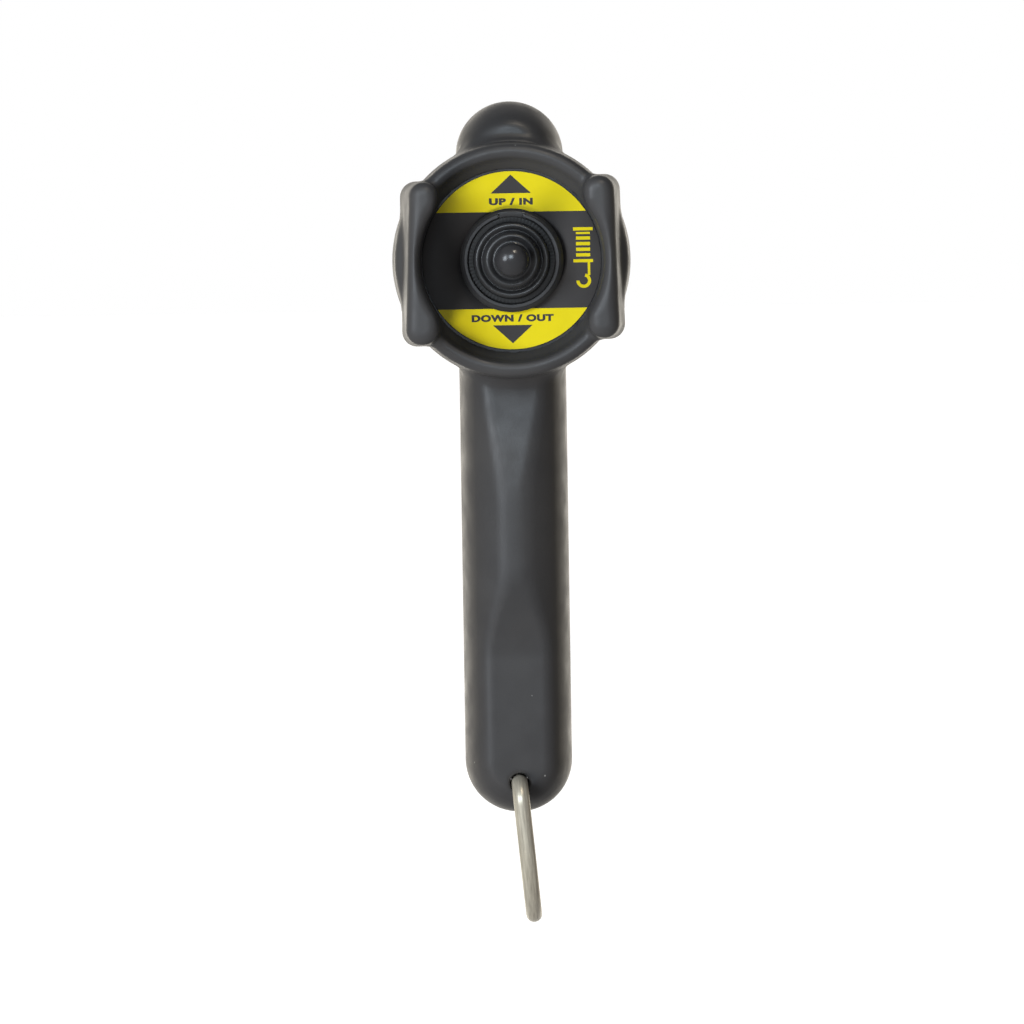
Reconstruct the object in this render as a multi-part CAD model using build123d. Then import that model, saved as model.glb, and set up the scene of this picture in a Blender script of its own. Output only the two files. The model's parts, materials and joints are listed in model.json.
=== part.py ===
"""Hand-held radio winch control: a hollow capsule-shaped grip with a round head on its front.

The head carries a spring-centred up/down joystick between two rubber guard ears. A steel ring swings in a
hole through the bottom of the grip. The grip holds the radio board and two AA cells behind a screwed door.

Frame: millimetres, +Z up along the grip, -Y the front (joystick side), +X the right as the user sees it.
The origin is the centre of the grip, on the plane where the two housing halves meet.
Every function makes one sub-part, written to parts/NODE.step.
"""

from build123d import *
import math
import os

# --- grip -----------------------------------------------------------------------------------------------
BODY_WIDTH = 31.0
BODY_TOP = 136.0
BODY_BOTTOM = -70.0
SECTION_DEPTH = 24.0        # half depth of the ellipse that the grip's section is cut from
FRONT_FLAT = 19.5           # front flat's distance from the joint plane
BACK_FLAT = 18.0            # back flat's distance from the joint plane
SWELL_RISE = 4.1            # how far the palm swell stands in front of the front flat
WALL = 2.6
BACK_WALL = 4.0
CAP_RADIUS = BODY_WIDTH / 2
CAP_TOP_Z = BODY_TOP - CAP_RADIUS
CAP_BOTTOM_Z = BODY_BOTTOM + CAP_RADIUS
INNER_RADIUS = CAP_RADIUS - WALL
INNER_FRONT = FRONT_FLAT - WALL
INNER_BACK = BACK_FLAT - BACK_WALL

# --- head -----------------------------------------------------------------------------------------------
HEAD_Z = 90.0
DRUM_RADIUS = 34.2
DRUM_BACK_Y = -8.0
DRUM_FLOOR = 3.0
DRUM_EDGE_FILLET = 3.0
SLEEVE_BACK_Y = -21.0       # where the rubber guard ends and the bare drum begins
SLEEVE_SEAT_RADIUS = 31.4
PANEL_FRONT_Y = -31.0
PANEL_RADIUS = 29.0
PANEL_THICKNESS = 2.5
PANEL_BACK_Y = PANEL_FRONT_Y + PANEL_THICKNESS
DRUM_BORE_RADIUS = 25.4
LEGEND_RADIUS = 25.5
LEGEND_THICKNESS = 0.5
LEGEND_FRONT_Y = PANEL_FRONT_Y - LEGEND_THICKNESS
PANEL_SCREW_CIRCLE = 27.2
PANEL_SCREW_ANGLES = (45, 135, 225, 315)

# --- rubber guard ---------------------------------------------------------------------------------------
RIM_FRONT_Y = -37.4
RIM_OUTER_RADIUS = 33.1
RIM_ROUND = 2.1
LIP_INNER_RADIUS = 25.8
EAR_FRONT_Y = -52.5
EAR_BACK_Y = SLEEVE_BACK_Y
EAR_BASE_X = (21.8, 32.5)
EAR_FRONT_X = (20.8, 29.5)
EAR_BASE_HALF_HEIGHT = 24.3
EAR_FRONT_HALF_HEIGHT = 23.5
EAR_CORNER = 4.2
EAR_WELL_RADIUS = 26.2
EAR_SOFTENING = 1.4

# --- joystick -------------------------------------------------------------------------------------------
STICK_HOLE_RADIUS = 11.3
BARREL_RADIUS = 11.1
BARREL_BORE = 9.6
BARREL_BACK_Y = -18.0
GASKET_THICKNESS = 0.5
BEZEL_BACK_Y = LEGEND_FRONT_Y - GASKET_THICKNESS
BEZEL_FRONT_Y = BEZEL_BACK_Y - 2.4
BEZEL_RADIUS = 14.8
CLAMP_OUTER = 12.35
CLAMP_INNER = 10.9
CLAMP_RIBS = 48
BOOT_THICKNESS = 0.9
NUT_RADIUS = 15.0
NUT_THICKNESS = 3.6
NUT_NOTCHES = 6
PIVOT_Y = -23.0
PIN_RADIUS = 1.5
RUNNING_CLEARANCE = 0.05
LEVER_RADIUS = 2.4
LEVER_FRONT_Y = -47.5
KNOB_RADIUS = 4.8
KNOB_BACK_Y = -43.6
KNOB_FRONT_Y = -51.0
KNOB_DOME = 3.2             # length of the rounded nose
KNOB_CHAMFER = 0.5
PLUNGER_OFFSET = 5.0        # plunger axes above and below the pivot
PLUNGER_RADIUS = 1.5
PLUNGER_NOSE_Y = PIVOT_Y + 5.3
PLUNGER_FOOT_Y = (-9.6, -8.6)
PLUNGER_FOOT_RADIUS = 2.0
BASE_RADIUS = 12.0
BASE_FLOOR_Y = -16.0
BASE_BACK_Y = -13.5
BASE_BORE = 7.8
BLOCK_BACK_Y = 1.0
TERMINAL_X = 5.0
TERMINAL_RISE = 5.4
TERMINAL_LENGTH = 5.0

# --- power and radio ------------------------------------------------------------------------------------
CELL_RADIUS = 7.25
CELL_LENGTH = 50.5
CELL_Y = 5.0
TRAY_HALF_LENGTH = 53.6
TRAY_WALL = 1.2
BOARD_Y = -13.6
BOARD_THICKNESS = 1.6
BOARD_Z = (-46.0, 48.0)
BOARD_HALF_WIDTH = 9.5
BOARD_SCREWS = [(x, z) for x in (-7.3, 7.3) for z in (-42.5, 44.5)]

ANTENNA_RADIUS = 2.2
ANTENNA_PITCH = 3.2
ANTENNA_LENGTH = 16.0
ANTENNA_WIRE_RADIUS = 0.5
ANTENNA_LEAD_RADIUS = 0.5
BATTERY_LEAD_RADIUS = 0.6
SWITCH_LEAD_RADIUS = 0.5

# --- door and fasteners ---------------------------------------------------------------------------------
DOOR_THICKNESS = 2.0
DOOR_HALF_WIDTH = 9.0
DOOR_Z = (-52.0, 61.0)
DOOR_CORNER = 4.0
DOOR_GAP = 0.2
OPENING_HALF_WIDTH = 7.6
OPENING_Z = (-50.5, 54.0)
DOOR_SCREWS = [(-5.4, 57.6), (5.4, 57.6)]
HOUSING_SCREWS = [(x * side, z) for x, z in ((6.8, 121.0), (7.2, 64.6), (7.6, -56.6)) for side in (-1, 1)]
SCREW_RADIUS = 1.25
HEAD_RADIUS = 2.2
HEAD_HEIGHT = 1.7
SLOT_HALF_WIDTH = 0.3
BOSS_RADIUS = 2.6
SEAL_WIDTH = 0.9
SEAL_DEPTH = 0.4

# --- hanging ring ---------------------------------------------------------------------------------------
HOLE_Z = -60.4
HOLE_RADIUS = 2.8
BUSHING_OUTER = 3.8
BUSHING_RECESS = 1.8
RING_BOSS_RADIUS = 5.4
ROD_RADIUS = 2.35
RING_FRONT_Y = -24.6
RING_BACK_Y = 23.1
RING_BEND = 6.0
RING_REACH = 39.65          # hole axis to the far bend's centreline
RING_LEAN = 5.4             # degrees to the right of straight down


# === helpers ============================================================================================
def y_rod(radius, y0, y1, x=0.0, z=0.0):
    """A cylinder along Y from y0 to y1."""
    return Pos(x, (y0 + y1) / 2, z) * Rot(X=90) * Cylinder(radius, abs(y1 - y0))


def x_rod(radius, half_length, y, z):
    """A cylinder along X, centred on x = 0."""
    return Pos(0, y, z) * Rot(Y=90) * Cylinder(radius, 2 * half_length)


def block(x, y, z):
    """A box given by its (low, high) range on each axis."""
    size = [high - low for low, high in (x, y, z)]
    centre = [(high + low) / 2 for low, high in (x, y, z)]
    return Pos(*centre) * Box(*size)


def lathe(outline, z=HEAD_Z):
    """Turns a closed (radius, y) outline about the Y axis line at height z."""
    return Pos(0, 0, z) * revolve(make_face(outline), Axis.Y, 360)


def turned(points, z=HEAD_Z):
    """A turned part with straight edges only."""
    return lathe(Polyline(*points, close=True), z)


def y_plate(sketch, y_front, y_back):
    """Extrudes a sketch drawn in (x, z) from y_front back to y_back."""
    plane = Plane(origin=(0, y_back, 0), x_dir=(1, 0, 0), z_dir=(0, -1, 0))
    return extrude(plane * sketch, y_back - y_front)


def z_oval(half_width, z_range, corner):
    """A rounded rectangle sketch in (x, z)."""
    low, high = z_range
    return Pos(0, (low + high) / 2) * RectangleRounded(2 * half_width, high - low, corner)


def stadium(radius):
    """The grip's outline in (x, z) at a given end radius."""
    length = CAP_TOP_Z - CAP_BOTTOM_Z
    middle = (CAP_TOP_Z + CAP_BOTTOM_Z) / 2
    return Pos(0, middle) * Rot(Z=90) * SlotCenterToCenter(length, 2 * radius)


def elliptic_capsule(half_width, half_depth):
    """An elliptic bar along Z with an ellipsoid on each end."""
    bar = extrude(Plane.XY.offset(CAP_BOTTOM_Z) * Ellipse(half_width, half_depth), CAP_TOP_Z - CAP_BOTTOM_Z)
    half = Ellipse(half_width, half_depth) & Pos(half_width, 0) * Rectangle(2 * half_width, 3 * half_depth)
    cap = revolve(half, Axis.Y, 360)
    return bar + Pos(0, 0, CAP_TOP_Z) * cap + Pos(0, 0, CAP_BOTTOM_Z) * cap


def side_profile():
    """The grip seen from the side: flat back, flat front with the palm swell under the head."""
    front, crest = -FRONT_FLAT, -FRONT_FLAT - SWELL_RISE
    reach = 1.0
    swell = Spline(
        (front, 62.0),
        (front - 0.34 * SWELL_RISE, 48.0),
        (front - 0.80 * SWELL_RISE, 31.0),
        (crest, 11.0),
        (front - 0.86 * SWELL_RISE, -4.0),
        (front - 0.30 * SWELL_RISE, -16.0),
        (front, -25.0),
        tangents=[(0, -1), (0, -1)],
    )
    frame = Polyline(
        (front, -25.0),
        (front, BODY_BOTTOM - reach),
        (BACK_FLAT, BODY_BOTTOM - reach),
        (BACK_FLAT, BODY_TOP + reach),
        (front, BODY_TOP + reach),
        (front, 62.0),
    )
    return extrude(Plane.YZ * make_face(swell + frame), BODY_WIDTH, both=True)


def grip_solid():
    """The whole grip before it is hollowed and split."""
    return elliptic_capsule(CAP_RADIUS, SECTION_DEPTH) & side_profile()


def grip_cavity():
    """The hollow inside the grip, one wall in from its surface."""
    hollow = elliptic_capsule(INNER_RADIUS, SECTION_DEPTH - WALL)
    slab = block((-BODY_WIDTH, BODY_WIDTH), (-INNER_FRONT, INNER_BACK), (BODY_BOTTOM, BODY_TOP))
    return hollow & slab


def drum():
    """The round head before it is bored: a seat for the rubber guard in front, bare behind."""
    body = turned(
        [
            (0, PANEL_FRONT_Y),
            (SLEEVE_SEAT_RADIUS, PANEL_FRONT_Y),
            (SLEEVE_SEAT_RADIUS, SLEEVE_BACK_Y),
            (DRUM_RADIUS, SLEEVE_BACK_Y),
            (DRUM_RADIUS, DRUM_BACK_Y),
            (0, DRUM_BACK_Y),
        ]
    )
    rear_edge = body.edges().filter_by(GeomType.CIRCLE).sort_by(Axis.Y)[-1]
    return fillet(rear_edge, DRUM_EDGE_FILLET)


def drum_bore():
    """The head's interior, with the ledge that the panel sits on."""
    floor_y = DRUM_BACK_Y - DRUM_FLOOR
    return y_rod(DRUM_BORE_RADIUS, PANEL_BACK_Y, floor_y, z=HEAD_Z) + y_rod(
        PANEL_RADIUS + 0.05, PANEL_FRONT_Y - 1, PANEL_BACK_Y, z=HEAD_Z
    )


def panel_screw_places():
    """(x, z) of the four panel screws."""
    for angle in PANEL_SCREW_ANGLES:
        turn = math.radians(angle)
        yield PANEL_SCREW_CIRCLE * math.cos(turn), HEAD_Z + PANEL_SCREW_CIRCLE * math.sin(turn)


def coil(radius, wire_radius, y0, y1, turns, x=0.0, z=0.0):
    """A round-wire coil spring along Y."""
    length = y1 - y0
    path = Helix(length / turns, length, radius)
    wire = sweep(Plane(path @ 0, z_dir=path % 0) * Circle(wire_radius), path=path)
    return Pos(x, y0, z) * Rot(X=-90) * wire


def bend_radii(points):
    """The largest arc radius that each corner's two runs leave room for."""
    radii = []
    for before, corner, after in zip(points, points[1:], points[2:]):
        into = Vector(*corner) - Vector(*before)
        out = Vector(*after) - Vector(*corner)
        half_turn = math.radians(into.get_angle(out)) / 2
        radii.append(0.45 * min(into.length, out.length) / math.tan(half_turn))
    return radii


def lead(points, radius):
    """A round wire along straight runs joined by arcs."""
    path = FilletPolyline(*points, radius=bend_radii(points))
    return sweep(Plane(path @ 0, z_dir=path % 0) * Circle(radius), path=path)


# === housing ============================================================================================
def housing_seal():
    """Soft cord in the groove between the housing halves."""
    middle = (CAP_RADIUS + INNER_RADIUS) / 2
    ring = stadium(middle + SEAL_WIDTH / 2) - stadium(middle - SEAL_WIDTH / 2)
    return y_plate(ring, -SEAL_DEPTH, SEAL_DEPTH)


def ring_hole(y0, y1):
    """The bore for the hanging ring with the seat for its bushing."""
    seat = y_rod(BUSHING_OUTER, -FRONT_FLAT + BUSHING_RECESS, BACK_FLAT - BUSHING_RECESS, z=HOLE_Z)
    return y_rod(HOLE_RADIUS, y0, y1, z=HOLE_Z) + seat


def front_housing():
    """Front half of the grip in one piece with the head's drum."""
    front_half = block((-40, 40), (-60, 0), (BODY_BOTTOM - 5, BODY_TOP + 5))
    shell = (grip_solid() & front_half) + drum()
    shell -= grip_cavity()
    shell -= drum_bore()
    for x, z in HOUSING_SCREWS:
        shell += y_rod(BOSS_RADIUS, -INNER_FRONT - 0.5, 0, x, z)
        shell -= y_rod(SCREW_RADIUS, -13.0, 0, x, z)
    for x, z in BOARD_SCREWS:
        shell += y_rod(2.0, -INNER_FRONT - 0.5, BOARD_Y, x, z)
        shell -= y_rod(0.9, -INNER_FRONT + 0.3, BOARD_Y, x, z)
    for x, z in panel_screw_places():
        shell -= y_rod(1.0, PANEL_BACK_Y, PANEL_BACK_Y + 4.5, x, z)
    shell += y_rod(RING_BOSS_RADIUS, -INNER_FRONT - 0.5, 0, z=HOLE_Z)
    shell -= ring_hole(-30, 0)
    return shell - housing_seal()


def rear_housing():
    """Back half of the grip with the battery opening."""
    back_half = block((-40, 40), (0, 40), (BODY_BOTTOM - 5, BODY_TOP + 5))
    shell = (grip_solid() & back_half) - grip_cavity()
    ledge_y = BACK_FLAT - DOOR_THICKNESS
    door_low, door_high = DOOR_Z
    recess_z = (door_low - DOOR_GAP, door_high + DOOR_GAP)
    recess = z_oval(DOOR_HALF_WIDTH + DOOR_GAP, recess_z, DOOR_CORNER + DOOR_GAP)
    shell -= y_plate(recess, ledge_y, BACK_FLAT + 5)
    shell -= y_plate(z_oval(OPENING_HALF_WIDTH, OPENING_Z, 2.0), INNER_BACK - 1, ledge_y + 1)
    shell -= door_seal()
    for x, z in DOOR_SCREWS:
        shell += y_rod(BOSS_RADIUS, 9.0, INNER_BACK + 0.5, x, z)
        shell -= y_rod(SCREW_RADIUS, 9.5, ledge_y, x, z)
    for x, z in HOUSING_SCREWS:
        shell += y_rod(BOSS_RADIUS, 0, INNER_BACK + 0.5, x, z)
        shell -= y_rod(SCREW_RADIUS + 0.15, 0, BACK_FLAT, x, z)
        shell -= y_rod(HEAD_RADIUS + 0.3, BACK_FLAT - 2.5, BACK_FLAT + 1, x, z)
    shell += y_rod(RING_BOSS_RADIUS, 0, INNER_BACK + 0.5, z=HOLE_Z)
    shell -= ring_hole(0, 30)
    return shell - housing_seal()


def ring_bushing():
    """Steel tube through the grip that the hanging ring turns in."""
    y0, y1 = -FRONT_FLAT + BUSHING_RECESS, BACK_FLAT - BUSHING_RECESS
    return y_rod(BUSHING_OUTER, y0, y1, z=HOLE_Z) - y_rod(HOLE_RADIUS, y0 - 1, y1 + 1, z=HOLE_Z)


# === battery compartment ================================================================================
def battery_door():
    """Flush cover with a tongue at its lower end and two screws at its upper end."""
    outer_y, inner_y = BACK_FLAT, BACK_FLAT - DOOR_THICKNESS
    door = y_plate(z_oval(DOOR_HALF_WIDTH, DOOR_Z, DOOR_CORNER), inner_y, outer_y)
    low = OPENING_Z[0]
    door += block((-5, 5), (INNER_BACK - 0.1, inner_y + 0.5), (low + 0.1, low + 1.6))
    door += block((-5, 5), (INNER_BACK - 1.3, INNER_BACK - 0.1), (low - 2.4, low + 1.6))
    for x, z in DOOR_SCREWS:
        door -= y_rod(SCREW_RADIUS + 0.15, inner_y - 1, outer_y + 1, x, z)
        door -= y_rod(HEAD_RADIUS + 0.2, outer_y - 1.3, outer_y + 1, x, z)
    return door


def door_seal():
    """Flat rubber frame let into the ledge around the battery opening."""
    ledge_y = BACK_FLAT - DOOR_THICKNESS
    low, high = OPENING_Z
    outer = z_oval(OPENING_HALF_WIDTH + 1.1, (low - 1.1, high + 0.9), 3.0)
    inner = z_oval(OPENING_HALF_WIDTH + 0.4, (low - 0.4, high + 0.2), 2.4)
    return y_plate(outer - inner, ledge_y - 0.8, ledge_y)


def screw(x, z, head_y, length, head_radius=HEAD_RADIUS, head_height=HEAD_HEIGHT, shaft_radius=SCREW_RADIUS):
    """A pan-head screw driven from the back, with a cross slot; head_y is the underside of its head."""
    top = head_y + head_height
    body = y_rod(head_radius, head_y, top, x, z)
    body += y_rod(shaft_radius, head_y - length, head_y, x, z)
    slot_y = (top - 0.6 * head_height, top + 1)
    half = 0.62 * head_radius
    body -= block((x - half, x + half), slot_y, (z - SLOT_HALF_WIDTH, z + SLOT_HALF_WIDTH))
    return body - block((x - SLOT_HALF_WIDTH, x + SLOT_HALF_WIDTH), slot_y, (z - half, z + half))


def door_screws():
    """Two captive screws of the battery door."""
    return [screw(x, z, BACK_FLAT - 1.3, 7.2, head_height=1.2) for x, z in DOOR_SCREWS]


def housing_screws():
    """Six screws that hold the housing halves together."""
    return [screw(x, z, BACK_FLAT - 2.5, 28.0) for x, z in HOUSING_SCREWS]


def battery_tray():
    """Trough that holds the two cells end to end."""
    half_width = CELL_RADIUS + 0.2 + TRAY_WALL
    tray = block((-half_width, half_width), (-4.0, 9.0), (-TRAY_HALF_LENGTH, TRAY_HALF_LENGTH))
    inside = TRAY_HALF_LENGTH - TRAY_WALL
    room = Pos(0, CELL_Y, 0) * Cylinder(CELL_RADIUS + 0.2, 2 * inside)
    slot = block((-CELL_RADIUS - 0.2, CELL_RADIUS + 0.2), (CELL_Y, 10), (-inside, inside))
    return tray - room - slot


def battery_cells():
    """Two AA cells, plus end up."""
    nub = 1.0
    cells = []
    for bottom in (-49.0, -49.0 + CELL_LENGTH):
        case = Pos(0, CELL_Y, bottom + (CELL_LENGTH - nub) / 2) * Cylinder(CELL_RADIUS, CELL_LENGTH - nub)
        case = fillet(case.edges().filter_by(GeomType.CIRCLE), 0.5)
        tip = Pos(0, CELL_Y, bottom + CELL_LENGTH - nub / 2) * Cylinder(2.75, nub)
        cells.append(case + tip)
    return cells


def battery_contacts():
    """A plate at the plus end, and a plate with a conical spring at the minus end."""
    inside = TRAY_HALF_LENGTH - TRAY_WALL
    thickness = 0.35
    plus = block((-5, 5), (0.5, 9.0), (inside - thickness, inside))
    minus = block((-5, 5), (0.5, 9.0), (-inside, -inside + thickness))
    path = Helix(0.9, 2.4, 3.4, cone_angle=18)
    wire = sweep(Plane(path @ 0, z_dir=path % 0) * Circle(0.28), path=path)
    spring = Pos(0, CELL_Y, -inside + thickness + 0.3) * wire
    return [plus, minus, spring]


# === radio board ========================================================================================
def circuit_board():
    """Radio transmitter board behind the grip's front wall."""
    board = block((-BOARD_HALF_WIDTH, BOARD_HALF_WIDTH), (BOARD_Y, BOARD_Y + BOARD_THICKNESS), BOARD_Z)
    board = fillet(board.edges().filter_by(Axis.Y), 1.5)
    for x, z in BOARD_SCREWS:
        board -= y_rod(1.1, BOARD_Y - 1, BOARD_Y + 3, x, z)
    return board


def board_screws():
    """Four screws of the radio board."""
    top = BOARD_Y + BOARD_THICKNESS
    small = {"head_radius": 1.7, "head_height": 1.2, "shaft_radius": 0.9}
    return [screw(x, z, top, 3.2, **small) for x, z in BOARD_SCREWS]


def board_components():
    """Radio module can, controller, crystal, capacitors and two connectors on the board's rear face."""
    y = BOARD_Y + BOARD_THICKNESS
    parts = [
        block((-8, 8), (y, y + 2.6), (14, 34)),
        block((-4.5, 4.5), (y, y + 1.2), (-6, 3)),
        block((-5.5, -1.0), (y, y + 1.4), (6, 9)),
        block((1.0, 6.5), (y, y + 5.0), (36.5, 41.5)),
        block((-5.0, 1.0), (y, y + 5.0), (-40, -35)),
        y_rod(2.4, y, y + 5.4, x=-5.6, z=-14),
        y_rod(2.4, y, y + 5.4, x=0.2, z=-14),
    ]
    parts += [block((x, x + 1.2), (y, y + 0.7), (z, z + 2.0)) for x in (-9, 6.5) for z in (-26, -21, 5)]
    return parts


def antenna_coil():
    """Short coiled antenna standing in the top of the grip, clear of the joystick."""
    path = Helix(ANTENNA_PITCH, ANTENNA_LENGTH, ANTENNA_RADIUS)
    section = Plane(path @ 0, z_dir=path % 0) * Circle(ANTENNA_WIRE_RADIUS)
    return Pos(0, 6.0, 109.0) * sweep(section, path=path, is_frenet=True)


def antenna_lead():
    """Feed wire from the board up behind the joystick to the antenna."""
    points = [
        (8.9, -11.4, 47.0),
        (9.4, -6.0, 54.0),
        (10.9, 3.0, 62.0),
        (10.4, 8.0, 78.0),
        (8.0, 10.6, 94.0),
        (2.2, 6.0, 108.4),
    ]
    return lead(points, ANTENNA_LEAD_RADIUS)


def battery_lead_red():
    """Plus lead from the tray's top end to the board connector."""
    side_view = [(1.0, 54.3), (-4.9, 54.4), (-7.6, 50.6), (-9.1, 46.2), (-9.3, 41.55)]
    return lead([(5.8, y, z) for y, z in side_view], BATTERY_LEAD_RADIUS)


def battery_lead_black():
    """Minus lead from the tray's lower end to the board connector."""
    side_view = [(1.0, -54.3), (-4.9, -54.3), (-7.8, -50.4), (-9.3, -45.6), (-9.5, -40.05)]
    return lead([(-2.0, y, z) for y, z in side_view], BATTERY_LEAD_RADIUS)


def switch_leads():
    """Three leads from the contact blocks, between the upper housing posts, to the board connector."""
    tab_y = BLOCK_BACK_Y + TERMINAL_LENGTH
    tab_x, tab_rise = TERMINAL_X, TERMINAL_RISE
    stations = [(7.6, 75.0), (3.6, 68.0), (-2.6, 60.5), (-7.6, 52.5), (-9.2, 46.5), (-9.3, 41.55)]
    lanes = [
        (-3.4, -1.7, 0.3, 1.5, 1.9, 1.9),
        (0.2, 0.9, 2.1, 2.8, 3.1, 3.1),
        (3.6, 3.4, 3.9, 4.1, 4.3, 4.3),
    ]
    low, high = HEAD_Z - tab_rise, HEAD_Z + tab_rise
    starts = [
        [(-tab_x, tab_y, low), (-tab_x, 8.4, low), (-4.6, 9.2, 80.4)],
        [(-tab_x, tab_y, high), (-tab_x, 8.4, high), (-3.6, 9.9, 91.0), (-0.6, 9.9, 82.6)],
        [(tab_x, tab_y, low), (tab_x, 8.4, low), (4.6, 9.2, 80.4)],
    ]
    leads = []
    for start, lane in zip(starts, lanes):
        rest = [(x, y, z) for x, (y, z) in zip(lane, stations)]
        leads.append(lead(start + rest, SWITCH_LEAD_RADIUS))
    return leads


# === head ===============================================================================================
def panel_plate():
    """Plate that closes the head and carries the joystick."""
    plate = y_rod(PANEL_RADIUS, PANEL_FRONT_Y, PANEL_BACK_Y, z=HEAD_Z)
    plate -= y_rod(STICK_HOLE_RADIUS, PANEL_FRONT_Y - 1, PANEL_BACK_Y + 1, z=HEAD_Z)
    for x, z in panel_screw_places():
        plate -= y_rod(1.15, PANEL_FRONT_Y - 1, PANEL_BACK_Y + 1, x, z)
        plate -= y_rod(1.75, PANEL_FRONT_Y - 1, PANEL_FRONT_Y + 1.2, x, z)
    return plate


def panel_screws():
    """Four small screws under the rubber lip that hold the panel on its ledge."""
    screws = []
    for x, z in panel_screw_places():
        head = y_rod(1.7, PANEL_FRONT_Y + 0.1, PANEL_FRONT_Y + 1.2, x, z)
        shaft = y_rod(1.0, PANEL_FRONT_Y + 1.2, PANEL_BACK_Y + 4.3, x, z)
        slot = block((x - 1.1, x + 1.1), (PANEL_FRONT_Y - 1, PANEL_FRONT_Y + 0.6), (z - 0.25, z + 0.25))
        screws.append(head + shaft - slot)
    return screws


def legend_plate():
    """Thin printed disc with the two direction marks."""
    disc = y_rod(LEGEND_RADIUS, LEGEND_FRONT_Y, PANEL_FRONT_Y, z=HEAD_Z)
    return disc - y_rod(STICK_HOLE_RADIUS, LEGEND_FRONT_Y - 1, PANEL_FRONT_Y + 1, z=HEAD_Z)


def ear_section(x_range, half_height, y):
    """The ear's rounded outline at depth y."""
    inner, outer = x_range
    plane = Plane(origin=(0, y, 0), x_dir=(1, 0, 0), z_dir=(0, -1, 0))
    outline = RectangleRounded(outer - inner, 2 * half_height, EAR_CORNER)
    return plane * Pos((inner + outer) / 2, HEAD_Z) * outline


def guard_ear():
    """The right-hand ear: a wall that flares towards the drum, hollowed by the round thumb well."""
    base = ear_section(EAR_BASE_X, EAR_BASE_HALF_HEIGHT, EAR_BACK_Y)
    front = ear_section(EAR_FRONT_X, EAR_FRONT_HALF_HEIGHT, EAR_FRONT_Y)
    ear = loft([base, front])
    ear -= y_rod(EAR_WELL_RADIUS, EAR_FRONT_Y - 1, PANEL_FRONT_Y, z=HEAD_Z)
    return fillet(ear.faces().sort_by(Axis.Y)[0].edges(), EAR_SOFTENING)


def guard_boot():
    """Rubber sleeve stretched over the drum, with a soft rim, a lip over the panel and two ears."""
    rim_y = RIM_FRONT_Y + RIM_ROUND
    outer = (RIM_OUTER_RADIUS, rim_y)
    crest = (RIM_OUTER_RADIUS - RIM_ROUND, RIM_FRONT_Y)
    inner = (RIM_OUTER_RADIUS - 2 * RIM_ROUND, rim_y)
    seat_front = (SLEEVE_SEAT_RADIUS, PANEL_FRONT_Y)
    seat_back = (SLEEVE_SEAT_RADIUS, SLEEVE_BACK_Y)
    outline = Polyline(seat_front, seat_back, (DRUM_RADIUS, SLEEVE_BACK_Y), outer)
    outline += ThreePointArc(outer, crest, inner)
    outline += Polyline(inner, (LIP_INNER_RADIUS, PANEL_FRONT_Y), seat_front)
    sleeve = lathe(outline)
    ear = guard_ear() - y_rod(SLEEVE_SEAT_RADIUS, PANEL_FRONT_Y, EAR_BACK_Y + 10, z=HEAD_Z)
    ear -= y_rod(LIP_INNER_RADIUS, PANEL_FRONT_Y - 10, EAR_BACK_Y + 10, z=HEAD_Z)
    return sleeve + ear + mirror(ear, Plane.YZ)


# === joystick ===========================================================================================
def bezel_gasket():
    """Flat seal under the joystick bezel."""
    ring = y_rod(BEZEL_RADIUS - 0.8, BEZEL_BACK_Y, LEGEND_FRONT_Y, z=HEAD_Z)
    return ring - y_rod(BARREL_RADIUS + 0.1, BEZEL_BACK_Y - 1, LEGEND_FRONT_Y + 1, z=HEAD_Z)


def joystick_bezel():
    """Round bezel in one piece with its barrel, with a locating notch at the top of its inner step."""
    step_y = BEZEL_FRONT_Y + 1.1
    bezel = turned(
        [
            (BARREL_BORE, BARREL_BACK_Y),
            (BARREL_RADIUS, BARREL_BACK_Y),
            (BARREL_RADIUS, BEZEL_BACK_Y),
            (BEZEL_RADIUS, BEZEL_BACK_Y),
            (BEZEL_RADIUS, BEZEL_BACK_Y - 0.9),
            (BEZEL_RADIUS - 1.3, BEZEL_FRONT_Y),
            (CLAMP_OUTER + 0.45, BEZEL_FRONT_Y),
            (CLAMP_OUTER + 0.05, step_y),
            (CLAMP_OUTER + 0.05, BEZEL_BACK_Y - 0.5),
            (BARREL_BORE, BEZEL_BACK_Y - 0.5),
        ]
    )
    notch = block((-3.8, 3.8), (BEZEL_FRONT_Y - 1, step_y), (HEAD_Z + 11.5, HEAD_Z + BEZEL_RADIUS - 1.0))
    return bezel - notch


def boot_clamp_ring():
    """Ribbed ring that clamps the rubber boot into the bezel."""
    back_y = BEZEL_BACK_Y - 1.1
    front_y = BEZEL_FRONT_Y + 0.75
    ring = y_rod(CLAMP_OUTER, front_y, back_y, z=HEAD_Z)
    ring -= y_rod(CLAMP_INNER, front_y - 1, back_y + 1, z=HEAD_Z)
    groove = block((CLAMP_INNER - 1, CLAMP_OUTER + 1), (front_y - 1, front_y + 0.3), (-0.22, 0.22))
    return ring - [Pos(0, 0, HEAD_Z) * Rot(Y=360 * i / CLAMP_RIBS) * groove for i in range(CLAMP_RIBS)]


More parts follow.
